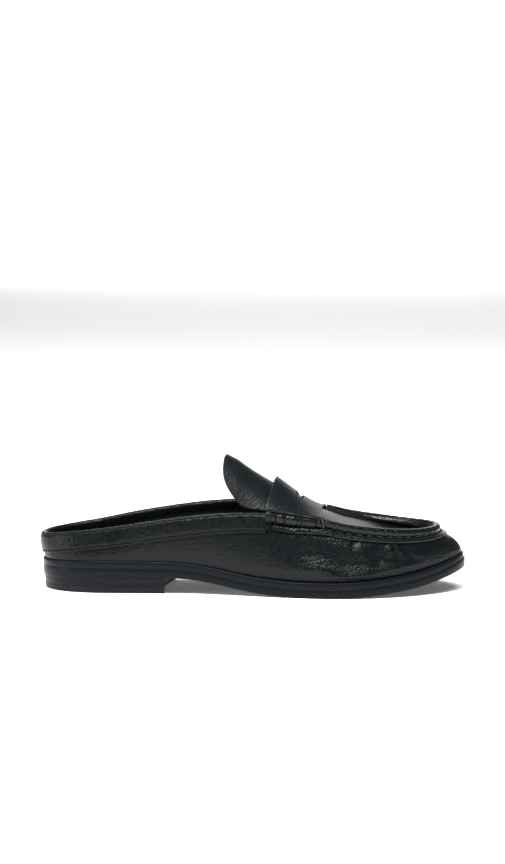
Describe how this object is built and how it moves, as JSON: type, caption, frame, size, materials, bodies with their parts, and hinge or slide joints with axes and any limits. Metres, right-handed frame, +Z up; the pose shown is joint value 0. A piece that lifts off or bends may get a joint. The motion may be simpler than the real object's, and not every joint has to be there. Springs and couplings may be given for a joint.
{
  "type": "loafer mule",
  "caption": "Open-backed penny loafer in black grained leather, with a rolled seam round the plug, beef rolls, a slit saddle strap and a low heel.",
  "frame": {"origin": "on the floor, under the middle of the shoe's box", "axes": "+X towards the toe, +Y towards the inner (medial) side, +Z up"},
  "size_m": [0.2684, 0.092, 0.085],
  "materials": {
    "grained leather": "pebbled, soft sheen",
    "lining leather": "smooth",
    "painted sole edge": "painted edge, satin",
    "heel rubber": "matte"
  },
  "bodies": {
    "root": {"outsole": "painted sole edge", "welt": "painted sole edge", "insole": "lining leather", "heel_top_piece": "heel rubber", "heel_block": "painted sole edge", "upper": "grained leather", "collar_band": "grained leather", "apron_roll": "grained leather", "beef_roll_lateral": "grained leather", "beef_roll_medial": "grained leather", "tongue": "grained leather", "saddle_strap": "grained leather"}
  },
  "joints": []
}
